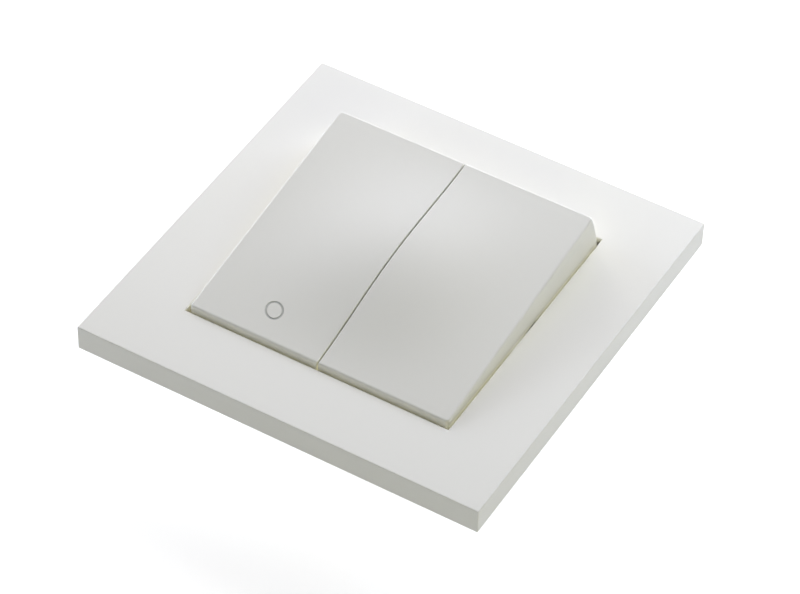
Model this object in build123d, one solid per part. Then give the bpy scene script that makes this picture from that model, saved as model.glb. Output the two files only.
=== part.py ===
from build123d import *
import math
import os

# Flush two-gang rocker switch for an 86 mm plate.
# Millimetres. Z = 0 is the wall plane, +Z points into the room, +Y is up the wall, X runs across.
# The origin is midway between the two box screws.

# Cover frame
frame_side = 86.0
frame_side_border = 14.6
frame_end_border = 14.3
frame_depth = 5.5
frame_edge_radius = 0.15
frame_face_thickness = 1.6
frame_wall = 2.0
window_edge_radius = 0.3
window_lip = 1.0
end_undercut = 0.8
rim_wall = 1.2
rim_flange_gap = 0.4
leg_spacing_x = 40.0
leg_width = 6.0
leg_thickness = 1.2
leg_flange_gap = 0.9
leg_reach = 1.8
leg_slot_inner_gap = 0.5
leg_slot_outer_gap = 0.6
leg_catch = 0.4

# Rockers, with heights measured from the pivot axis while the rocker is level
pivot_depth = 4.5
rocker_flat_height = 9.15
rocker_side_gap = 0.5
rocker_end_gap = 0.3
rocker_seam = 0.3
rocker_wall = 1.6
rocker_draft = 0.5
rocker_skirt_drop = 1.0
rocker_seam_radius = 0.2
rocker_edge_radius = 0.4
rocker_corner_radius = 0.8
rocker_tilt = 7.9
dome_rise = 1.8
dome_points = 25
crown_tolerance = 0.002
tab_notch_half = 8.5
tab_notch_gap = 0.33
screw_notch_half = 4.5
screw_notch_rise = 1.5

# Off mark on the left rocker, its centre measured from the rocker's middle
mark_x = -13.34
mark_y = -20.48
mark_half_width = 1.57
mark_half_height = 1.96
mark_lean = 40.6
mark_line = 0.44
mark_depth = 0.12

# Toggles and pivot pin
module_inset = 8.7
pin_radius = 1.5
pin_overhang = 0.6
pin_chamfer = 0.3
running_clearance = 0.05
still_clearance = 0.02
hub_wall = 1.9
hub_width = 9.0
stem_width = 6.0
stem_half = 3.0
stem_top_gap = 1.4
clip_thickness = 1.6
clip_seat = 3.6
clip_root_depth = 0.2
clip_bead = 0.25
clip_bead_height = 5.0
clip_bead_size = 0.6
tube_wall = 1.05
tube_roof_wall = 1.4
tube_end_gap = 3.6

# Plungers and springs
plunger_radius = 1.5
plunger_centre = 12.0
plunger_length = 6.6
spring_wire = 0.36
spring_radius = 0.85
spring_turns = 6.5
spring_seat_gap = 2.5
spring_hole_radius = 1.1

# Contact levers
lever_gap = 0.1
lever_thickness = 1.2
lever_width = 7.0
lever_end_gap = 1.6
lever_rear_short = 1.2
lever_tilt = 5.0
lever_room = 4.7
fulcrum_radius = 0.6
fulcrum_clearance = 0.08
contact_inset = 2.1
contact_radius = 1.6
contact_thickness = 0.8
contact_shank = 0.7
contact_upset_radius = 1.1
contact_upset = 0.3
contact_gap_closed = 0.1

# Mounting strap
strap_thickness = 1.2
strap_edge = 2.8
strap_corner = 3.0
strap_window_gap = 0.2
box_screw_spacing = 60.3
box_hole_radius = 2.25
tab_reach = 4.25
tab_half = 6.0

# Rocker carrier
carrier_floor_gap = 0.5
carrier_floor = 1.1
carrier_wall = 1.0
carrier_side_gap = 0.35
carrier_end_gap = 0.5
flange_thickness = 1.0
flange_width = 3.7
flange_end = 3.0
tab_clearance = 0.5
post_thickness = 2.6
post_gap = 0.4
post_wall = 1.7
throat_half_x = 3.3
throat_half_y = 5.5

# Rivets between carrier and strap
rivet_x = 23.0
rivet_inset = 1.6
rivet_radius = 0.9
rivet_head_radius = 1.3
rivet_head = 0.7
rivet_tail = 0.5

# Mechanism housing
housing_side = 44.0
housing_wall = 1.8
housing_floor = 1.5
housing_corner = 2.5
boss_inset = 1.7
boss_radius = 2.4
barrier_thickness = 1.2
barrier_rear_gap = 0.5
barrier_top_gap = 3.0
rib_thickness = 0.8
rib_gap = 0.1
rib_height = 6.0

# Housing screws
screw_radius = 1.25
screw_head_radius = 2.2
screw_head = 1.6
screw_length = 9.0
screw_hole_gap = 0.15
screw_tip_room = 0.6
drive_width = 0.6
drive_length = 2.6
drive_depth = 0.8

# Conductors and terminals
strip_thickness = 0.8
strip_width = 5.0
strip_end_gap = 0.6
strip_leg_gap = 1.0
busbar_half = 2.5
stand_width = 6.0
block_width = 7.0
block_depth = 6.8
block_height = 8.5
block_wall_gap = 0.4
wire_inset = 4.2
wire_radius = 1.7
wire_depth = 7.0
wire_entry_radius = 2.2
clamp_radius = 1.5
clamp_height = 3.9
clamp_tip_gap = 0.1
clamp_head_radius = 2.4
clamp_head = 1.5
clamp_head_gap = 0.5
clamp_door_gap = 0.3

# Cover frame and rockers, from the sizes above
inside = 1.0
tiny = 0.01
half_frame = frame_side / 2
half_window = half_frame - frame_side_border
half_window_length = half_frame - frame_end_border
face_underside = frame_depth - frame_face_thickness
pivot_height = frame_depth - pivot_depth
rocker_pair_half_width = half_window - rocker_side_gap
rocker_end_radius = half_window_length - rocker_end_gap
half_seam = rocker_seam / 2
rocker_inner_x = half_seam + rocker_wall
flat_half = math.sqrt(rocker_end_radius**2 - rocker_flat_height**2)
tilt_sine = math.sin(math.radians(rocker_tilt))
tilt_cosine = math.cos(math.radians(rocker_tilt))
draft_slope = math.tan(math.radians(rocker_draft))
rocker_foot_half_width = rocker_pair_half_width + (rocker_flat_height + rocker_skirt_drop) * draft_slope
skirt_y = math.sqrt(rocker_end_radius**2 - rocker_skirt_drop**2)
skirt_lowest = pivot_height - skirt_y * tilt_sine - rocker_skirt_drop * tilt_cosine
tab_notch_drop = tab_notch_half * tilt_sine
tab_notch_height = strap_thickness + tab_notch_gap + tab_notch_drop - pivot_height
screw_notch_height = tab_notch_height + screw_notch_rise
pivot_line = Axis((0, 0, pivot_height), (1, 0, 0))

# Carrier, strap and frame rim, from the rockers outwards
floor_top = skirt_lowest - carrier_floor_gap
floor_bottom = floor_top - carrier_floor
tray_x = rocker_foot_half_width + carrier_side_gap
tray_y = rocker_end_radius + carrier_end_gap
tray_outer_x = tray_x + carrier_wall
tray_outer_y = tray_y + carrier_wall
flange_top = strap_thickness + flange_thickness
flange_half = rivet_x + flange_end
flange_reach = tray_outer_y + flange_width
rivet_y = flange_reach - rivet_inset
rim_low = flange_top + rim_flange_gap
leg_inner_y = flange_reach + leg_flange_gap
leg_outer_y = leg_inner_y + leg_thickness
slot_outer_y = leg_outer_y + leg_slot_outer_gap
strap_half = slot_outer_y + strap_edge
box_screw_x = box_screw_spacing / 2
tab_x = box_screw_x - tab_reach

# Toggles, pin and plungers, from the housing and the pivot
housing_half = housing_side / 2
housing_inner = housing_half - housing_wall
module_x = housing_inner - module_inset
hub_radius = pin_radius + hub_wall
hub_inner_x = module_x - hub_width / 2
hub_outer_x = module_x + hub_width / 2
post_radius = pin_radius + post_wall
post_inner_x = hub_inner_x - post_gap - post_thickness / 2
post_outer_x = hub_outer_x + post_gap + post_thickness / 2
pin_half = post_outer_x + post_thickness / 2 + pin_overhang
stem_height = rocker_flat_height - stem_top_gap
clip_root = rocker_flat_height + clip_root_depth
tube_radius = plunger_radius + running_clearance + tube_wall
tube_roof = pin_radius + tube_roof_wall
tube_end = plunger_centre - tube_end_gap
plunger_top = plunger_centre - plunger_length
spring_seat = plunger_centre - spring_seat_gap

# Levers, contacts and terminals, from the plungers and the housing
lever_z = pivot_height - plunger_centre - lever_gap - plunger_radius - lever_thickness
housing_floor_top = lever_z - lever_room
housing_bottom = housing_floor_top - housing_floor
boss_xy = housing_inner - boss_inset
block_outer_y = housing_inner - block_wall_gap
block_inner_y = block_outer_y - block_depth
block_top = housing_floor_top + block_height
strip_leg_y = block_inner_y - strip_thickness
strip_leg_top = block_top - strip_leg_gap
lever_front = strip_leg_y - lever_end_gap
lever_rear = lever_front - lever_rear_short
contact_y = contact_inset - lever_front
contact_outer_y = contact_y - contact_radius
strip_contact_end = contact_y + contact_radius + strip_end_gap
closed_sine = math.sin(math.radians(lever_tilt))
closed_cosine = math.cos(math.radians(lever_tilt))
contact_lowest = lever_z + contact_outer_y * closed_sine - contact_thickness * closed_cosine
fixed_contact_top = contact_lowest - contact_gap_closed
platform_top = fixed_contact_top - contact_thickness
platform_bottom = platform_top - strip_thickness
wire_y = block_outer_y - wire_inset
clamp_z = housing_floor_top + clamp_height
rib_top = housing_floor_top + rib_height
barrier_rear = -busbar_half - barrier_rear_gap
barrier_top = floor_bottom - barrier_top_gap
lever_line = Axis((0, 0, lever_z), (1, 0, 0))


def block(x0, x1, y0, y1, z0, z1):
    """A box between two corners."""
    centre = Pos((x0 + x1) / 2, (y0 + y1) / 2, (z0 + z1) / 2)
    return centre * Box(x1 - x0, y1 - y0, z1 - z0)


def rod_z(x, y, z0, z1, radius):
    """A round bar along Z."""
    return Pos(x, y, (z0 + z1) / 2) * Cylinder(radius, z1 - z0)


def rod_x(x0, x1, y, z, radius):
    """A round bar along X."""
    return Pos((x0 + x1) / 2, y, z) * Rot(0, 90, 0) * Cylinder(radius, x1 - x0)


def rod_y(x, y0, y1, z, radius):
    """A round bar along Y."""
    return Pos(x, (y0 + y1) / 2, z) * Rot(90, 0, 0) * Cylinder(radius, y1 - y0)


def to_left(shape):
    """The same piece for the left-hand switch."""
    return mirror(shape, about=Plane.YZ)


def at_rest(shape):
    """Turns a level rocker piece to its off position."""
    return shape.rotate(pivot_line, rocker_tilt)


def at_corners(x, y):
    """The four corner points of a rectangle."""
    return [(sx * x, sy * y) for sx in (-1, 1) for sy in (-1, 1)]


def one_solid(shape):
    """The single solid that a piece is made of."""
    return shape.solids().sort_by(lambda solid: solid.volume)[-1]


# Cover frame

def snap_leg(sx, sy):
    """A leg that passes the strap and catches behind it."""
    x = sx * leg_spacing_x / 2
    inner = leg_inner_y
    outer = leg_outer_y
    nib_y = slot_outer_y + leg_catch
    outline = [
        (inner, face_underside + tiny),
        (outer, face_underside + tiny),
        (outer, 0),
        (nib_y, 0),
        (nib_y, -leg_catch),
        (outer, -leg_reach),
        (inner, -leg_reach),
    ]
    points = [(x - leg_width / 2, sy * y, z) for y, z in outline]
    face = Face(Wire.make_polygon(points))
    return extrude(face, amount=leg_width, dir=(1, 0, 0))


def cover_frame():
    body = block(-half_frame, half_frame, -half_frame, half_frame, 0, frame_depth)
    rounded = body.edges().filter_by(Axis.Z) + body.faces().sort_by(Axis.Z)[-1].edges()
    body = fillet(rounded, frame_edge_radius)
    hollow = half_frame - frame_wall
    body -= block(-hollow, hollow, -hollow, hollow, -inside, face_underside)
    rim_x = half_window + rim_wall
    undercut_y = half_window_length + end_undercut
    rim_y = undercut_y + rim_wall
    body += block(-rim_x, rim_x, -rim_y, rim_y, rim_low, face_underside)
    body -= block(-half_window, half_window, -half_window_length, half_window_length, -inside,
                  frame_depth + inside)
    lip_low = frame_depth - window_lip
    body -= block(-half_window, half_window, -undercut_y, undercut_y, -inside, lip_low)
    for side in (-1, 1):
        x0, x1 = sorted((side * (half_window - inside), side * (rim_x + inside)))
        body -= block(x0, x1, -tab_half, tab_half, -inside, face_underside)
    top = body.edges().filter_by_position(Axis.Z, frame_depth - tiny, frame_depth + tiny)
    inner = [e for e in top if max(abs(e.center().X), abs(e.center().Y)) < half_window_length + tiny]
    body = fillet(inner, window_edge_radius)
    for sx, sy in at_corners(1, 1):
        body += snap_leg(sx, sy)
    return one_solid(body)


# Rockers

def dome_at(x, y):
    """Height of the raised centre above the flat level."""
    across = min(abs(x) / rocker_pair_half_width, 1)
    along = min(abs(y) / flat_half, 1)
    rise = math.cos(math.pi / 2 * across)**2 * math.cos(math.pi / 2 * along)**2
    return dome_rise * rise


def above_dome(drop):
    """Everything above the right-hand crown, lowered by drop."""
    base = pivot_height + rocker_flat_height - drop
    x_reach = rocker_pair_half_width + 2 * inside
    y_reach = rocker_end_radius + inside
    rows = []
    for i in range(dome_points):
        x = -inside + x_reach * i / (dome_points - 1)
        row = []
        for j in range(2 * dome_points - 1):
            y = y_reach * (j / (dome_points - 1) - 1)
            row.append(Vector(x, y, base + dome_at(x, y)))
        rows.append(row)
    crown = Face.make_surface_from_array_of_points(rows, tol=crown_tolerance)
    return extrude(crown, amount=rocker_flat_height, dir=(0, 0, 1))


def rocker_clip(side):
    """One of the two ribs that grip the toggle's stem."""
    x0 = module_x - stem_width / 2
    x1 = module_x + stem_width / 2
    y0, y1 = sorted((side * stem_half, side * (stem_half + clip_thickness)))
    rib = block(x0, x1, y0, y1, pivot_height + clip_seat, pivot_height + clip_root)
    bead_z = pivot_height + clip_bead_height
    return rib + rod_x(x0, x1, side * (stem_half + clip_bead_size - clip_bead), bead_z, clip_bead_size)


def drafted_prism(x0, inset, low):
    """A bar along Y with one upright side at x0 and a leaning outer side, moved in by inset."""
    high = pivot_height + 2 * rocker_flat_height
    edge = rocker_pair_half_width - inset
    flat = pivot_height + rocker_flat_height
    reach = rocker_end_radius + inside
    outline = [
        (x0, low),
        (edge + (flat - low) * draft_slope, low),
        (edge + (flat - high) * draft_slope, high),
        (x0, high),
    ]
    face = Face(Wire.make_polygon([(x, -reach, z) for x, z in outline]))
    return extrude(face, amount=2 * reach, dir=(0, 1, 0))


def outer_corners(body):
    """The two upright edges between the outer side and the round ends."""
    outer = [e for e in body.edges() if e.center().X > rocker_pair_half_width / 2]
    return [e for e in outer if e.bounding_box().size.Z > rocker_flat_height / 2]


def top_edges(body):
    """The edges round the top face, from the seam outwards."""
    top = body.faces().sort_by(Axis.Z)[-1]
    return list(top.edges().sort_by(Axis.X))


def right_rocker_level():
    """The right-hand rocker, level."""
    low = pivot_height - rocker_skirt_drop
    far_x = rocker_foot_half_width + inside
    body = rod_x(0, far_x, 0, pivot_height, rocker_end_radius) & drafted_prism(half_seam, 0, low)
    body = one_solid(body - above_dome(0))
    body = one_solid(fillet(outer_corners(body), rocker_corner_radius))
    outer_rim = top_edges(body)[1:]
    body = one_solid(fillet(outer_rim, rocker_edge_radius))
    seam_rim = top_edges(body)[0]
    body = fillet(seam_rim, rocker_seam_radius)
    cavity = rod_x(0, far_x, 0, pivot_height, rocker_end_radius - rocker_wall)
    cavity &= drafted_prism(rocker_inner_x, rocker_wall, low - inside)
    cavity -= above_dome(rocker_wall)
    body -= one_solid(cavity)
    for half, height in ((tab_notch_half, tab_notch_height), (screw_notch_half, screw_notch_height)):
        body -= block(-inside, far_x, -half, half, low - inside, pivot_height + height)
    for side in (-1, 1):
        body += rocker_clip(side)
    return one_solid(body)


def off_mark():
    """The engraved ring, as the material to take away."""
    z = pivot_height + rocker_flat_height - inside
    outer = Ellipse(mark_half_width + mark_line / 2, mark_half_height + mark_line / 2)
    inner = Ellipse(mark_half_width - mark_line / 2, mark_half_height - mark_line / 2)
    place = Pos(-mark_x, mark_y, z) * Rot(0, 0, -mark_lean)
    ring = extrude(place * (outer - inner), amount=2 * rocker_wall)
    return ring & above_dome(mark_depth)


# Toggles, plungers and springs

def right_toggle_level():
    z = pivot_height
    x0 = module_x - stem_width / 2
    x1 = module_x + stem_width / 2
    shoulder = stem_half + clip_thickness
    body = rod_x(hub_inner_x, hub_outer_x, 0, z, hub_radius)
    body += block(x0, x1, -stem_half, stem_half, z, z + stem_height)
    body += block(x0, x1, -shoulder, shoulder, z, z + clip_seat)
    body += rod_z(module_x, 0, z - tube_end, z, tube_radius)
    for side in (-1, 1):
        groove_y = side * (stem_half + clip_bead_size - clip_bead)
        body -= rod_x(x0 - inside, x1 + inside, groove_y, z + clip_bead_height, clip_bead_size)
    body -= rod_x(hub_inner_x - inside, hub_outer_x + inside, 0, z, pin_radius + running_clearance)
    bore = plunger_radius + running_clearance
    body -= rod_z(module_x, 0, z - tube_end - inside, z - tube_roof, bore)
    return one_solid(body)


def right_plunger_level():
    z = pivot_height
    body = rod_z(module_x, 0, z - plunger_centre, z - plunger_top, plunger_radius)
    body += Pos(module_x, 0, z - plunger_centre) * Sphere(plunger_radius)
    body -= rod_z(module_x, 0, z - spring_seat, z, spring_hole_radius)
    return one_solid(body)


def right_spring_level():
    """A coil between the tube's roof and the bottom of the plunger's hole."""
    low = pivot_height - spring_seat + spring_wire / 2 + still_clearance
    high = pivot_height - tube_roof - spring_wire / 2 - still_clearance
    height = high - low
    path = Helix(pitch=height / spring_turns, height=height, radius=spring_radius)
    start = Plane(origin=path @ 0, z_dir=path % 0)
    coil = sweep(start * Circle(spring_wire / 2), path=path)
    return one_solid(Pos(module_x, 0, low) * coil)


def pivot_pin():
    pin = rod_x(-pin_half, pin_half, 0, pivot_height, pin_radius)
    ends = pin.edges().filter_by(GeomType.CIRCLE)
    return one_solid(chamfer(ends, pin_chamfer))


# Contact levers

def right_lever_at_rest():
    x0 = module_x - lever_width / 2
    x1 = module_x + lever_width / 2
    body = block(x0, x1, -lever_front, lever_rear, lever_z, lever_z + lever_thickness)
    body -= rod_x(x0 - inside, x1 + inside, 0, lever_z, fulcrum_radius + fulcrum_clearance)
    body -= rod_z(module_x, contact_y, lever_z - inside, lever_z + 2 * lever_thickness,
                  contact_shank + still_clearance)
    return one_solid(body).rotate(lever_line, -lever_tilt)


def right_lever_contact_at_rest():
    top = lever_z + lever_thickness
    body = rod_z(module_x, contact_y, lever_z - contact_thickness, lever_z, contact_radius)
    body += rod_z(module_x, contact_y, lever_z, top, contact_shank)
    body += rod_z(module_x, contact_y, top, top + contact_upset, contact_upset_radius)
    return one_solid(body).rotate(lever_line, -lever_tilt)


# Strap, carrier and rivets

def mounting_strap():
    body = block(-strap_half, strap_half, -strap_half, strap_half, 0, strap_thickness)
    body = fillet(body.edges().filter_by(Axis.Z), strap_corner)
    open_x = tray_outer_x + strap_window_gap
    open_y = tray_outer_y + strap_window_gap
    body -= block(-open_x, open_x, -open_y, open_y, -inside, strap_thickness + inside)
    for side in (-1, 1):
        x0, x1 = sorted((side * tab_x, side * (open_x + tiny)))
        body += block(x0, x1, -tab_half, tab_half, 0, strap_thickness)
    for side in (-1, 1):
        body -= rod_z(side * box_screw_x, 0, -inside, strap_thickness + inside, box_hole_radius)
    slot_half = leg_width / 2 + leg_slot_inner_gap
    slot_inner_y = leg_inner_y - leg_slot_inner_gap
    for sx, sy in at_corners(leg_spacing_x / 2, 1):
        y0, y1 = sorted((sy * slot_inner_y, sy * slot_outer_y))
        body -= block(sx - slot_half, sx + slot_half, y0, y1, -inside, strap_thickness + inside)
    for x, y in at_corners(rivet_x, rivet_y):
        body -= rod_z(x, y, -inside, strap_thickness + inside, rivet_radius + still_clearance)
    return one_solid(body)


def bearing_post(x):
    """A round-topped post that holds the pivot pin."""
    x0 = x - post_thickness / 2
    x1 = x + post_thickness / 2
    post = block(x0, x1, -post_radius, post_radius, floor_top - tiny, pivot_height)
    return post + rod_x(x0, x1, 0, pivot_height, post_radius)


def carrier_recess(side):
    """The wall that steps inward round a strap tab."""
    wall_x = tab_x - tab_clearance
    reach_y = tab_half + tab_clearance + carrier_wall
    x0, x1 = sorted((side * (wall_x - carrier_wall), side * tray_outer_x))
    return block(x0, x1, -reach_y, reach_y, floor_bottom, strap_thickness)


def recess_hollow(side):
    """The space left open for a strap tab and its box screw."""
    wall_x = tab_x - tab_clearance
    half = tab_half + tab_clearance
    x0, x1 = sorted((side * wall_x, side * (tray_outer_x + inside)))
    return block(x0, x1, -half, half, floor_bottom - inside, flange_top + inside)


def rocker_carrier():
    body = block(-tray_outer_x, tray_outer_x, -tray_outer_y, tray_outer_y, floor_bottom, flange_top)
    body += block(-flange_half, flange_half, -flange_reach, flange_reach, strap_thickness, flange_top)
    body -= block(-tray_x, tray_x, -tray_y, tray_y, floor_top, flange_top + inside)
    for side in (-1, 1):
        body += carrier_recess(side)
        body -= recess_hollow(side)
    for side in (-1, 1):
        for x in (post_inner_x, post_outer_x):
            body += bearing_post(side * x)
        x = side * module_x
        body -= block(x - throat_half_x, x + throat_half_x, -throat_half_y, throat_half_y,
                      floor_bottom - inside, floor_top + inside)
    body -= rod_x(-pin_half, pin_half, 0, pivot_height, pin_radius + still_clearance)
    for x, y in at_corners(boss_xy, boss_xy):
        body -= rod_z(x, y, floor_bottom - inside, floor_top + inside, screw_radius + screw_hole_gap)
    for x, y in at_corners(rivet_x, rivet_y):
        body -= rod_z(x, y, strap_thickness - inside, flange_top + inside, rivet_radius + still_clearance)
    return one_solid(body)


def strap_rivet(x, y):
    body = rod_z(x, y, -rivet_tail, 0, rivet_head_radius)
    body += rod_z(x, y, 0, flange_top, rivet_radius)
    body += rod_z(x, y, flange_top, flange_top + rivet_head, rivet_head_radius)
    return one_solid(body)


# Mechanism housing

def block_ribs(x, sy):
    """Two ribs that hold a terminal block from the sides."""
    near = block_width / 2 + rib_gap
    ribs = []
    for side in (-1, 1):
        x0, x1 = sorted((x + side * near, x + side * (near + rib_thickness)))
        y0, y1 = sorted((sy * block_inner_y, sy * (housing_inner + tiny)))
        ribs.append(block(x0, x1, y0, y1, housing_floor_top - tiny, rib_top))
    return ribs


def terminal_places():
    """Where the three terminals stand: x, and the side they are on."""
    return [(-module_x, -1), (module_x, -1), (0, 1)]


def mechanism_housing():
    half = housing_half
    body = block(-half, half, -half, half, housing_bottom, floor_bottom)
    body = fillet(body.edges().filter_by(Axis.Z), housing_corner)
    body -= block(-housing_inner, housing_inner, -housing_inner, housing_inner,
                  housing_floor_top, floor_bottom + inside)
    for x, y in at_corners(boss_xy, boss_xy):
        body += rod_z(x, y, housing_floor_top - tiny, floor_bottom, boss_radius)
    body += block(-barrier_thickness / 2, barrier_thickness / 2, -housing_inner - tiny, barrier_rear,
                  housing_floor_top - tiny, barrier_top)
    for side in (-1, 1):
        x = side * module_x
        pad_y = contact_y - contact_radius
        body += block(x - strip_width / 2, x + strip_width / 2, pad_y, strip_contact_end,
                      housing_floor_top - tiny, platform_bottom)
    for x, sy in terminal_places():
        for rib in block_ribs(x, sy):
            body += rib
        body -= rod_z(x, sy * wire_y, housing_bottom - inside, housing_floor_top + tiny, wire_entry_radius)
        y0, y1 = sorted((sy * (housing_inner - tiny), sy * (half + inside)))
        body -= rod_y(x, y0, y1, clamp_z, clamp_head_radius + clamp_door_gap)
    for x, y in at_corners(boss_xy, boss_xy):
        low = floor_bottom - screw_length + carrier_floor - screw_tip_room
        body -= rod_z(x, y, low, floor_bottom + inside, screw_radius + still_clearance)
    return one_solid(body)


def housing_screw(x, y):
    """A pan-head screw with a crossed drive."""
    top = floor_top + screw_head
    body = rod_z(x, y, floor_top - screw_length, floor_top, screw_radius)
    body += rod_z(x, y, floor_top, top, screw_head_radius)
    for dx, dy in ((drive_length, drive_width), (drive_width, drive_length)):
        body -= block(x - dx / 2, x + dx / 2, y - dy / 2, y + dy / 2, top - drive_depth, top + inside)
    return one_solid(body)


# Conductors and terminals

def right_switched_strip():
    x0 = module_x - strip_width / 2
    x1 = module_x + strip_width / 2
    body = block(x0, x1, -block_inner_y, -strip_leg_y, housing_floor_top, strip_leg_top)
    body += block(x0, x1, -strip_leg_y - tiny, strip_contact_end, platform_bottom, platform_top)
    body -= rod_z(module_x, contact_y, platform_bottom - tiny, platform_top + inside,
                  contact_shank + still_clearance)
    return one_solid(body)


def fixed_contact(x):
    body = rod_z(x, contact_y, platform_bottom, platform_top, contact_shank)
    body += rod_z(x, contact_y, platform_top, fixed_contact_top, contact_radius)
    return one_solid(body)


def common_busbar():
    """The strip both levers rock on, with a branch to its terminal."""
    strip_top = housing_floor_top + strip_thickness
    reach = module_x + stand_width / 2
    body = block(-reach, reach, -busbar_half, busbar_half, housing_floor_top, strip_top)
    body += block(-busbar_half, busbar_half, 0, strip_leg_y + tiny, housing_floor_top, strip_top)
    body += block(-busbar_half, busbar_half, strip_leg_y, block_inner_y, housing_floor_top, strip_leg_top)
    for side in (-1, 1):
        x0 = side * module_x - stand_width / 2
        x1 = side * module_x + stand_width / 2
        body += block(x0, x1, -fulcrum_radius, fulcrum_radius, strip_top - tiny, lever_z)
        body += rod_x(x0, x1, 0, lever_z, fulcrum_radius)
    return one_solid(body)


def terminal_block(x, sy):
    y0, y1 = sorted((sy * block_inner_y, sy * block_outer_y))
    body = block(x - block_width / 2, x + block_width / 2, y0, y1, housing_floor_top, block_top)
    wire_top = housing_floor_top + wire_depth
    body -= rod_z(x, sy * wire_y, housing_floor_top - inside, wire_top, wire_radius)
    y0, y1 = sorted((sy * wire_y, sy * (block_outer_y + inside)))
    body -= rod_y(x, y0, y1, clamp_z, clamp_radius + still_clearance)
    return one_solid(body)


def clamp_screw(x, sy):
    """A slotted screw that presses on the wire from the side."""
    tip = wire_y + wire_radius + clamp_tip_gap
    under_head = block_outer_y + clamp_head_gap
    end = under_head + clamp_head
    y0, y1 = sorted((sy * tip, sy * under_head))
    body = rod_y(x, y0, y1, clamp_z, clamp_radius)
    y0, y1 = sorted((sy * under_head, sy * end))
    body += rod_y(x, y0, y1, clamp_z, clamp_head_radius)
    y0, y1 = sorted((sy * (end - drive_depth), sy * (end + inside)))
    body -= block(x - clamp_head_radius, x + clamp_head_radius, y0, y1,
                  clamp_z - drive_width / 2, clamp_z + drive_width / 2)
    return one_solid(body)


def group(label, solids):
    """Several equal pieces under one name."""
    return Compound(label=label, children=list(solids))


def build():
    right_rocker = right_rocker_level()
    left_rocker = one_solid(to_left(one_solid(right_rocker_level() - off_mark())))
    right_toggle = right_toggle_level()
    right_plunger = right_plunger_level()
    right_spring = right_spring_level()
    right_lever = right_lever_at_rest()
    right_contact = right_lever_contact_at_rest()
    right_strip = right_switched_strip()
    corners = at_corners(boss_xy, boss_xy)
    rivets = at_corners(rivet_x, rivet_y)
    places = terminal_places()
    return {
        "cover_frame": cover_frame(),
        "left_rocker": at_rest(left_rocker),
        "right_rocker": at_rest(right_rocker),
        "left_toggle": at_rest(to_left(right_toggle)),
        "right_toggle": at_rest(right_toggle),
        "left_plunger": at_rest(to_left(right_plunger)),
        "right_plunger": at_rest(right_plunger),
        "left_spring": at_rest(to_left(right_spring)),
        "right_spring": at_rest(right_spring),
        "pivot_pin": pivot_pin(),
        "mounting_strap": mounting_strap(),
        "rocker_carrier": rocker_carrier(),
        "strap_rivets": group("strap_rivets", [strap_rivet(x, y) for x, y in rivets]),
        "mechanism_housing": mechanism_housing(),
        "housing_screws": group("housing_screws", [housing_screw(x, y) for x, y in corners]),
        "left_contact_lever": to_left(right_lever),
        "right_contact_lever": right_lever,
        "left_lever_contact": to_left(right_contact),
        "right_lever_contact": right_contact,
        "common_busbar": common_busbar(),
        "left_switched_strip": to_left(right_strip),
        "right_switched_strip": right_strip,
        "fixed_contacts": group("fixed_contacts", [fixed_contact(s * module_x) for s in (-1, 1)]),
        "terminal_blocks": group("terminal_blocks", [terminal_block(x, s) for x, s in places]),
        "terminal_screws": group("terminal_screws", [clamp_screw(x, s) for x, s in places]),
    }


os.makedirs("parts", exist_ok=True)
for name, shape in build().items():
    shape.label = name
    export_step(shape, "parts/" + name + ".step")
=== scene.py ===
"""Finishes and studio for a flush rocker switch with two keys in a square cover frame."""
import math

import bmesh
import bpy
from mathutils import Matrix, Quaternion, Vector


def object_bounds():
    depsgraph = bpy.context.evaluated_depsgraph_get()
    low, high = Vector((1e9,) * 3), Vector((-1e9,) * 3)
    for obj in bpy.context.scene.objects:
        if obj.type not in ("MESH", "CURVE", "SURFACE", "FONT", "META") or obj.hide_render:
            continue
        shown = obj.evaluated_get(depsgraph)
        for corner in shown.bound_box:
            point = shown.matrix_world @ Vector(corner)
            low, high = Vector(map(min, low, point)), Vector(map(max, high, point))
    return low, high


bl_info = {
    "name": "Rocker switch",
    "version": (1, 0, 0),
    "blender": (4, 5, 0),
    "location": "3D View > Sidebar > Switch",
    "description": "Finishes, lamps and camera for a flush rocker switch",
    "category": "Object",
}

MM = 0.001
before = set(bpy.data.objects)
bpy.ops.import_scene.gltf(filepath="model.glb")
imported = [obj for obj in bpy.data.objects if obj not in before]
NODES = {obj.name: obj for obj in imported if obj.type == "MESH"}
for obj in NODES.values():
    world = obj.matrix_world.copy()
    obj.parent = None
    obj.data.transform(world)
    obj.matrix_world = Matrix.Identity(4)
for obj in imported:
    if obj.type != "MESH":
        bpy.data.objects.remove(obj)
CAD_BOX = [list(corner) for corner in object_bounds()]

# The height of the cover frame's face, and the rockers' pivot and resting tilt, as in the solids.
FRAME_FACE = 5.5 * MM
PIVOT = Vector((0, 0, 1.0 * MM))
TILT = math.radians(7.9)

# The off mark's ring, as in the solids: its centre and lean on the levelled rocker, half its width
# and height to the middle of the line, and the line's width.
MARK_CENTRE = Vector((-13.34 * MM, -20.48 * MM))
MARK_LEAN = math.radians(40.6)
MARK_HALF = (1.57 * MM, 1.96 * MM)
MARK_LINE = 0.44 * MM
# The groove's polygons lie above this height, and within this share of the ring's outlines.
MARK_LOWEST = 8 * MM
MARK_SLACK = 0.01

# Heights of the fine relief on moulded and on worked surfaces, in millimetres.
MOULD_RELIEF_MM = 0.02
METAL_RELIEF_MM = 0.01

# Painted light: the rockers glow in the window's narrow gaps, standing in for light bounced between
# the walls and light that soaks through them. Its colour and strength, how far below the frame's face
# it is full, how far and with how many rays it looks for other walls, and how open a place is where
# none of it shows and where all of it does.
PAINTED_GLOW_COLOUR = "#f4f2cc"
PAINTED_GLOW_STRENGTH = 0.15
PAINTED_GLOW_DEPTH = 0.5 * MM
PAINTED_GLOW_REACH = 1.0 * MM
PAINTED_GLOW_SAMPLES = 4
PAINTED_GLOW_NONE_WHEN_OPEN = 0.7
PAINTED_GLOW_FULL_WHEN_OPEN = 0.35


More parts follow.
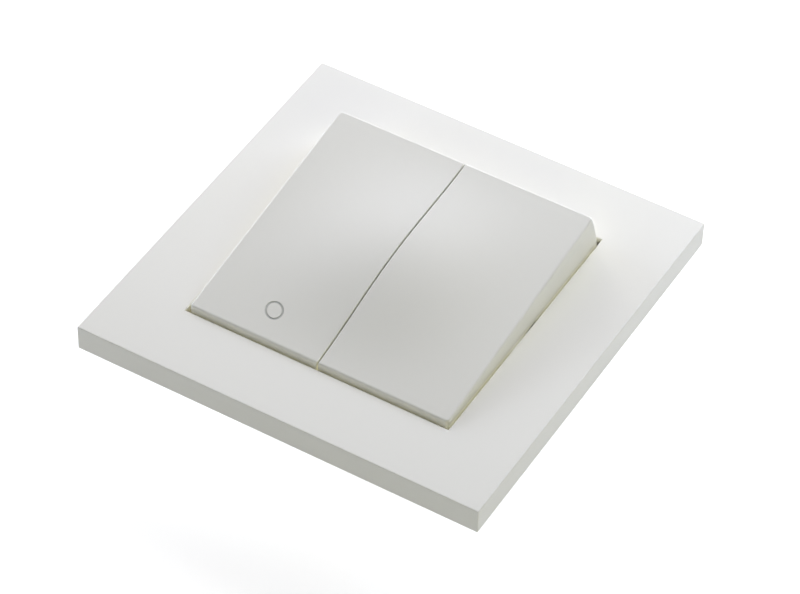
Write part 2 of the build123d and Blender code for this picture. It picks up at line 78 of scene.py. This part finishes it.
def to_linear(hex_colour):
    """An sRGB hex colour as the linear one that shaders take."""
    channels = [int(hex_colour[i:i + 2], 16) / 255 for i in (1, 3, 5)]
    linear = [c / 12.92 if c <= 0.04045 else ((c + 0.055) / 1.055)**2.4 for c in channels]
    return (*linear, 1.0)


def add_node(tree, kind, values=None, links=None, **settings):
    """Adds a node with its settings, its sockets' values and the links into it."""
    node = tree.nodes.new(kind)
    for name, value in settings.items():
        setattr(node, name, value)
    for name, value in (values or {}).items():
        node.inputs[name].default_value = value
    for name, source in (links or {}).items():
        tree.links.new(source, node.inputs[name])
    return node


def start_material(name):
    """An empty material, its node tree and its output."""
    material = bpy.data.materials.new(name)
    material.use_nodes = True
    tree = material.node_tree
    tree.nodes.clear()
    return material, tree, add_node(tree, "ShaderNodeOutputMaterial")


def grain_bump(tree, grain_mm, height_mm, strength):
    """The fine random relief that a surface takes from its mould or from etching."""
    place = add_node(tree, "ShaderNodeTexCoord")
    noise = add_node(tree, "ShaderNodeTexNoise", {"Scale": 1 / (grain_mm * MM), "Detail": 2.0},
                     {"Vector": place.outputs["Object"]})
    return add_node(tree, "ShaderNodeBump", {"Strength": strength, "Distance": height_mm * MM},
                    {"Height": noise.outputs["Fac"]})


def moulded_plastic(name, colour, roughness, grain_mm=0.25, strength=0.1):
    """An opaque moulded thermoplastic with the fine grain of an eroded mould."""
    material, tree, output = start_material(name)
    bump = grain_bump(tree, grain_mm, MOULD_RELIEF_MM, strength)
    shader = add_node(tree, "ShaderNodeBsdfPrincipled",
                      {"Base Color": colour, "Roughness": roughness, "IOR": 1.5},
                      {"Normal": bump.outputs["Normal"]})
    tree.links.new(shader.outputs["BSDF"], output.inputs["Surface"])
    return material


def paint_gap_glow(material, strength):
    """Painted glow on the rockers in the narrow gaps of the frame's window, for bounced light and light
    through the thin walls.
    """
    tree = material.node_tree
    shader = tree.nodes["Principled BSDF"]
    place = add_node(tree, "ShaderNodeTexCoord")
    height = add_node(tree, "ShaderNodeSeparateXYZ", {}, {"Vector": place.outputs["Object"]})
    inside = add_node(tree, "ShaderNodeMapRange",
                      {"From Min": FRAME_FACE, "From Max": FRAME_FACE - PAINTED_GLOW_DEPTH,
                       "To Min": 0.0, "To Max": strength},
                      {"Value": height.outputs["Z"]})
    near = add_node(tree, "ShaderNodeAmbientOcclusion", {"Distance": PAINTED_GLOW_REACH}, samples=PAINTED_GLOW_SAMPLES)
    narrow = add_node(tree, "ShaderNodeMapRange",
                      {"From Min": PAINTED_GLOW_NONE_WHEN_OPEN, "From Max": PAINTED_GLOW_FULL_WHEN_OPEN},
                      {"Value": near.outputs["AO"]})
    glow = add_node(tree, "ShaderNodeMath", {},
                    {0: inside.outputs["Result"], 1: narrow.outputs["Result"]}, operation="MULTIPLY")
    shader.inputs["Emission Color"].default_value = to_linear(PAINTED_GLOW_COLOUR)
    tree.links.new(glow.outputs[0], shader.inputs["Emission Strength"])


def worked_metal(name, colour, roughness, grain_mm, strength):
    """A metal surface with the relief that rolling, drawing or plating leaves."""
    material, tree, output = start_material(name)
    bump = grain_bump(tree, grain_mm, METAL_RELIEF_MM, strength)
    shader = add_node(tree, "ShaderNodeBsdfPrincipled",
                      {"Base Color": colour, "Roughness": roughness, "Metallic": 1.0},
                      {"Normal": bump.outputs["Normal"]})
    tree.links.new(shader.outputs["BSDF"], output.inputs["Surface"])
    return material


def dress(names, material):
    """Gives each of these pieces the same material in place of what it had."""
    for name in names:
        mesh = NODES[name].data
        mesh.materials.clear()
        mesh.materials.append(material)


class SwitchFinishes(bpy.types.PropertyGroup):
    """Colours and gloss of the moulded pieces."""
    frame_colour: bpy.props.FloatVectorProperty(
        name="Frame colour", description="White of the cover frame", subtype="COLOR", size=4,
        default=to_linear("#f1eee0"), min=0, max=1)
    rocker_colour: bpy.props.FloatVectorProperty(
        name="Rocker colour", description="White of both rockers", subtype="COLOR", size=4,
        default=to_linear("#f1eee0"), min=0, max=1)
    mark_colour: bpy.props.FloatVectorProperty(
        name="Mark colour", description="Paint in the ring that marks off", subtype="COLOR", size=4,
        default=to_linear("#d0cfc5"), min=0, max=1)
    gloss_roughness: bpy.props.FloatProperty(
        name="Plastic roughness", description="Roughness of the visible white plastic", subtype="FACTOR",
        default=0.38, min=0, max=1)


class SwitchStudio(bpy.types.PropertyGroup):
    """Where the camera stands, and how bright the lamps are."""
    camera_distance: bpy.props.FloatProperty(
        name="Camera distance", description="From the camera to its aim on the frame's face",
        subtype="DISTANCE", unit="LENGTH", default=0.71496)
    camera_azimuth: bpy.props.FloatProperty(
        name="Camera azimuth", description="Turn to the right from straight in front",
        subtype="ANGLE", unit="ROTATION", default=math.radians(29.933))
    camera_elevation: bpy.props.FloatProperty(
        name="Camera elevation", description="Height above the frame's face",
        subtype="ANGLE", unit="ROTATION", default=math.radians(45.710))
    camera_roll: bpy.props.FloatProperty(
        name="Camera roll", description="Turn about the line of sight",
        subtype="ANGLE", unit="ROTATION", default=math.radians(1.470))
    camera_lens: bpy.props.FloatProperty(
        name="Camera lens", description="Focal length on a 36 mm sensor", default=172.1, min=1)
    lamp_level: bpy.props.FloatProperty(
        name="Lamp level", description="All lamps together", default=1.0, min=0)
    room_level: bpy.props.FloatProperty(
        name="Room level", description="Even light from all round", default=0.0, min=0)


class SWITCH_OT_cover_frame(bpy.types.Operator):
    """Finish the cover frame"""
    bl_idname = "switch.cover_frame"
    bl_label = "Cover frame"

    def execute(self, context):
        looks = context.scene.switch_finishes
        # Injection-moulded ABS from a lightly eroded mould: soft, broad highlights and no sparkle.
        abs_plastic = moulded_plastic("moulded_abs_white", looks.frame_colour, looks.gloss_roughness)
        dress(["cover_frame"], abs_plastic)
        return {"FINISHED"}


def in_mark(point):
    """True where a point of the left rocker lies in the ring-shaped groove."""
    level = Matrix.Rotation(-TILT, 3, "X") @ (point - PIVOT)
    x, y = Matrix.Rotation(-MARK_LEAN, 2) @ (level.xy - MARK_CENTRE)
    outer = math.hypot(x / (MARK_HALF[0] + MARK_LINE / 2), y / (MARK_HALF[1] + MARK_LINE / 2))
    inner = math.hypot(x / (MARK_HALF[0] - MARK_LINE / 2), y / (MARK_HALF[1] - MARK_LINE / 2))
    return level.z > MARK_LOWEST and outer < 1 + MARK_SLACK and inner > 1 - MARK_SLACK


class SWITCH_OT_rockers(bpy.types.Operator):
    """Finish both rockers and paint the off mark"""
    bl_idname = "switch.rockers"
    bl_label = "Rockers"

    def execute(self, context):
        looks = context.scene.switch_finishes
        # Injection-moulded polycarbonate blend, a little smoother than the frame because fingers
        # polish it.
        rocker_plastic = moulded_plastic("moulded_polycarbonate_white", looks.rocker_colour,
                                         looks.gloss_roughness, strength=0.06)
        # The rockers glow below the frame's face in the narrow gaps: painted light that lightens the
        # gaps.
        paint_gap_glow(rocker_plastic, PAINTED_GLOW_STRENGTH)
        dress(["left_rocker", "right_rocker"], rocker_plastic)
        # Matt grey paint wiped into the groove, flat and without highlights.
        paint = moulded_plastic("wiped_grey_paint", looks.mark_colour, roughness=0.6, strength=0.0)
        mesh = NODES["left_rocker"].data
        mesh.materials.append(paint)
        painted = [p for p in mesh.polygons if in_mark(p.center)]
        if not painted:
            raise RuntimeError("the off mark's groove wasn't found on the left rocker")
        for polygon in painted:
            polygon.material_index = 1
        return {"FINISHED"}


class SWITCH_OT_mechanism_mouldings(bpy.types.Operator):
    """Finish the carrier, housing, toggles and plungers"""
    bl_idname = "switch.mechanism_mouldings"
    bl_label = "Mechanism mouldings"

    def execute(self, context):
        # White polycarbonate like the frame's, duller because nobody sees or touches it.
        carrier = moulded_plastic("moulded_polycarbonate_cream", to_linear("#f0ecdc"),
                                  roughness=0.5, grain_mm=0.5, strength=0.25)
        # Glass-filled polyamide: fibres at the surface make it dull and slightly mottled.
        housing = moulded_plastic("moulded_polyamide_grey", to_linear("#a9adaf"),
                                  roughness=0.55, grain_mm=0.5, strength=0.3)
        # Unfilled polyamide in its own ivory colour, waxy where it slides.
        toggles = moulded_plastic("moulded_polyamide_ivory", to_linear("#e2dcc8"), roughness=0.4)
        # Acetal, milk white and slippery.
        plungers = moulded_plastic("moulded_acetal_natural", to_linear("#eeeeea"),
                                   roughness=0.3, strength=0.0)
        dress(["rocker_carrier"], carrier)
        dress(["mechanism_housing"], housing)
        dress(["left_toggle", "right_toggle"], toggles)
        dress(["left_plunger", "right_plunger"], plungers)
        return {"FINISHED"}


class SWITCH_OT_steelwork(bpy.types.Operator):
    """Finish the strap, rivets, pin, springs and screws"""
    bl_idname = "switch.steelwork"
    bl_label = "Steelwork"

    def execute(self, context):
        # Cold-rolled sheet, pressed and zinc plated: a pale, faintly blue and cloudy shine.
        zinc = worked_metal("zinc_plated_sheet", to_linear("#c9ccd0"),
                            roughness=0.38, grain_mm=1.5, strength=0.15)
        # Ground and drawn bar, and plated screws, bright with tight highlights.
        bright = worked_metal("bright_nickel_plated_steel", to_linear("#cfcfcc"),
                              roughness=0.25, grain_mm=0.4, strength=0.05)
        # Hard-drawn spring wire, darker from its drawing lubricant.
        wire = worked_metal("drawn_spring_wire", to_linear("#9c9ea2"),
                            roughness=0.3, grain_mm=0.3, strength=0.05)
        dress(["mounting_strap", "strap_rivets"], zinc)
        dress(["pivot_pin", "housing_screws", "terminal_screws"], bright)
        dress(["left_spring", "right_spring"], wire)
        return {"FINISHED"}


class SWITCH_OT_conductors(bpy.types.Operator):
    """Finish the levers, strips, contacts and terminal blocks"""
    bl_idname = "switch.conductors"
    bl_label = "Conductors"

    def execute(self, context):
        # Rolled copper strip, stamped and a little oxidised.
        copper = worked_metal("stamped_copper_strip", to_linear("#c88a63"),
                              roughness=0.35, grain_mm=0.8, strength=0.1)
        # Milled and tapped free-cutting brass.
        brass = worked_metal("milled_brass", to_linear("#d3b45f"),
                             roughness=0.3, grain_mm=0.5, strength=0.08)
        # Coined silver alloy rivets, pale and soft.
        silver = worked_metal("coined_silver_alloy", to_linear("#dcdad2"),
                              roughness=0.28, grain_mm=0.4, strength=0.05)
        dress(["left_contact_lever", "right_contact_lever", "common_busbar"], copper)
        dress(["left_switched_strip", "right_switched_strip"], copper)
        dress(["terminal_blocks"], brass)
        dress(["left_lever_contact", "right_lever_contact", "fixed_contacts"], silver)
        return {"FINISHED"}


# Each lamp: name, turn from straight up the wall towards the right and height above the wall in
# degrees, distance and width in metres, power in watts at level 1, and tint. The last one shines
# through the floor and lights the back of the switch.
LAMPS = (
    ("left_softbox", 270, 12, 0.90, 0.40, 3.00, (0.885, 1.005, 1.288)),
    ("rear_key", 0, 45, 0.90, 0.40, 2.80, (1.018, 0.997, 0.973)),
    ("rear_left_softbox", 315, 15, 0.90, 0.40, 2.30, (0.975, 1.004, 1.031)),
    ("front_right_softbox", 135, 15, 0.90, 0.40, 1.75, (1.005, 1.022, 0.771)),
    ("front_left_softbox", 225, 15, 0.90, 0.40, 1.23, (0.917, 0.988, 1.361)),
    ("rear_near_softbox", 25, 30, 0.42, 0.25, 0.93, (0.909, 0.998, 1.288)),
    ("rear_high_softbox", 335, 35, 0.90, 0.40, 0.44, (0.888, 0.981, 1.521)),
    ("left_near_softbox", 310, 35, 0.42, 0.25, 0.24, (1.078, 0.981, 0.959)),
    ("under_softbox", 0, -90, 0.90, 0.12, 4.00, (1.000, 1.000, 1.000)),
)

# The camera's aim on the frame's face, its sensor's width in millimetres and the nearest
# distance that it sees, in metres.
AIM = Vector((3.747 * MM, -4.666 * MM, FRAME_FACE))
SENSOR_MM = 36.0
NEAREST = 0.01

# The floor: half its side in metres, how far it lies under the housing, its colour, and how bright
# and in what tint its background shows.
FLOOR_HALF = 6.0
FLOOR_DROP = 0.1 * MM
FLOOR_COLOUR = "#e8e8e8"
FLOOR_WHITE = 0.71
FLOOR_TINT = (1.0, 0.985, 0.97, 1.0)


def seen_by_camera(tree):
    """1 for rays that see the background, straight, mirrored or through something clear, else 0."""
    path = add_node(tree, "ShaderNodeLightPath")
    mirrored = add_node(tree, "ShaderNodeMath", {},
                        {0: path.outputs["Is Camera Ray"], 1: path.outputs["Is Glossy Ray"]},
                        operation="MAXIMUM")
    either = add_node(tree, "ShaderNodeMath", {},
                      {0: mirrored.outputs[0], 1: path.outputs["Is Transmission Ray"]},
                      operation="MAXIMUM")
    return either.outputs[0]


def paper_material():
    """Pale matt paper that shows plain white, keeps shadows, and is open to what lies under it."""
    material, tree, output = start_material("matt_white_paper")
    diffuse = add_node(tree, "ShaderNodeBsdfDiffuse", {"Color": to_linear(FLOOR_COLOUR)})
    shown = add_node(tree, "ShaderNodeMath", {1: FLOOR_WHITE}, {0: seen_by_camera(tree)},
                     operation="MULTIPLY")
    # The paper is shown a little warm, because the lamps' tints leave its faint shadow bluish.
    glow = add_node(tree, "ShaderNodeEmission", {"Color": FLOOR_TINT}, {"Strength": shown.outputs[0]})
    both = add_node(tree, "ShaderNodeAddShader", {}, {0: diffuse.outputs[0], 1: glow.outputs[0]})
    # From below, the paper passes the sight of the switch's back, and it passes every lamp's light.
    path = add_node(tree, "ShaderNodeLightPath")
    side = add_node(tree, "ShaderNodeNewGeometry")
    underneath = add_node(tree, "ShaderNodeMath", {},
                          {0: path.outputs["Is Camera Ray"], 1: side.outputs["Backfacing"]},
                          operation="MULTIPLY")
    open_to = add_node(tree, "ShaderNodeMath", {},
                       {0: path.outputs["Is Shadow Ray"], 1: underneath.outputs[0]},
                       operation="MAXIMUM")
    clear = add_node(tree, "ShaderNodeBsdfTransparent")
    paper = add_node(tree, "ShaderNodeMixShader", {},
                     {0: open_to.outputs[0], 1: both.outputs[0], 2: clear.outputs[0]})
    tree.links.new(paper.outputs[0], output.inputs["Surface"])
    return material


def make_floor():
    """A plain pale floor under the housing, wide enough to fill every view."""
    mesh = bpy.data.meshes.new("studio_floor")
    shape = bmesh.new()
    bmesh.ops.create_grid(shape, x_segments=1, y_segments=1, size=FLOOR_HALF)
    bmesh.ops.translate(shape, vec=(0, 0, CAD_BOX[0][2] - FLOOR_DROP), verts=shape.verts)
    shape.to_mesh(mesh)
    shape.free()
    floor = bpy.data.objects.new("studio_floor", mesh)
    bpy.context.scene.collection.objects.link(floor)
    mesh.materials.append(paper_material())


def light_room(level):
    """The world: a plain white sight for the camera, and even light from all round at this level."""
    world = bpy.data.worlds.new("studio_room")
    world.use_nodes = True
    bpy.context.scene.world = world
    tree = world.node_tree
    tree.nodes.clear()
    output = add_node(tree, "ShaderNodeOutputWorld")
    white = add_node(tree, "ShaderNodeMapRange", {"To Min": level, "To Max": 1.0},
                     {"Value": seen_by_camera(tree)})
    back = add_node(tree, "ShaderNodeBackground", {}, {"Strength": white.outputs["Result"]})
    tree.links.new(back.outputs["Background"], output.inputs["Surface"])


def hang_lamps(level):
    """Square softboxes that all face the switch."""
    for name, azimuth, elevation, distance, width, power, tint in LAMPS:
        lamp = bpy.data.lights.new(name, "AREA")
        lamp.shape = "SQUARE"
        lamp.size = width
        lamp.energy = power * level
        lamp.color = tint
        holder = bpy.data.objects.new(name, lamp)
        turn = math.radians(azimuth)
        rise = math.radians(elevation)
        way = Vector((math.sin(turn) * math.cos(rise), math.cos(turn) * math.cos(rise), math.sin(rise)))
        holder.location = way * distance
        holder.rotation_mode = "QUATERNION"
        holder.rotation_quaternion = (-way).to_track_quat("-Z", "Y")
        bpy.context.scene.collection.objects.link(holder)


def place_camera(studio):
    """The camera at the photograph's angle."""
    lens = bpy.data.cameras.new("photo_camera")
    lens.sensor_width = SENSOR_MM
    lens.lens = studio.camera_lens
    lens.clip_start = NEAREST
    camera = bpy.data.objects.new("photo_camera", lens)
    across = math.cos(studio.camera_elevation)
    back = Vector((math.sin(studio.camera_azimuth) * across, -math.cos(studio.camera_azimuth) * across,
                   math.sin(studio.camera_elevation)))
    camera.location = AIM + back * studio.camera_distance
    camera.rotation_mode = "QUATERNION"
    roll = Quaternion((0, 0, 1), studio.camera_roll)
    camera.rotation_quaternion = (-back).to_track_quat("-Z", "Y") @ roll
    bpy.context.scene.collection.objects.link(camera)
    bpy.context.scene.camera = camera


class SWITCH_OT_studio(bpy.types.Operator):
    """Set the floor, the room's light, the lamps and the camera"""
    bl_idname = "switch.studio"
    bl_label = "Studio"

    def execute(self, context):
        studio = context.scene.switch_studio
        make_floor()
        light_room(studio.room_level)
        hang_lamps(studio.lamp_level)
        place_camera(studio)
        context.scene.view_settings.view_transform = "Standard"
        return {"FINISHED"}


STEPS = (
    SWITCH_OT_cover_frame,
    SWITCH_OT_rockers,
    SWITCH_OT_mechanism_mouldings,
    SWITCH_OT_steelwork,
    SWITCH_OT_conductors,
    SWITCH_OT_studio,
)


class SWITCH_PT_panel(bpy.types.Panel):
    """Lists the switch's colours, camera, lamps and steps"""
    bl_idname = "SWITCH_PT_panel"
    bl_label = "Rocker switch"
    bl_space_type = "VIEW_3D"
    bl_region_type = "UI"
    bl_category = "Switch"

    def draw(self, context):
        layout = self.layout
        for group in (context.scene.switch_finishes, context.scene.switch_studio):
            box = layout.box()
            for name in group.bl_rna.properties.keys():
                if name not in {"rna_type", "name"}:
                    box.prop(group, name)
        for step in STEPS:
            layout.operator(step.bl_idname)


CLASSES = (SwitchFinishes, SwitchStudio, *STEPS, SWITCH_PT_panel)


def register():
    for cls in CLASSES:
        bpy.utils.register_class(cls)
    bpy.types.Scene.switch_finishes = bpy.props.PointerProperty(type=SwitchFinishes)
    bpy.types.Scene.switch_studio = bpy.props.PointerProperty(type=SwitchStudio)


def unregister():
    del bpy.types.Scene.switch_studio
    del bpy.types.Scene.switch_finishes
    for cls in reversed(CLASSES):
        bpy.utils.unregister_class(cls)


def main():
    register()
    bpy.ops.switch.cover_frame()
    bpy.ops.switch.rockers()
    bpy.ops.switch.mechanism_mouldings()
    bpy.ops.switch.steelwork()
    bpy.ops.switch.conductors()
    bpy.ops.switch.studio()


if __name__ == "__main__":
    main()
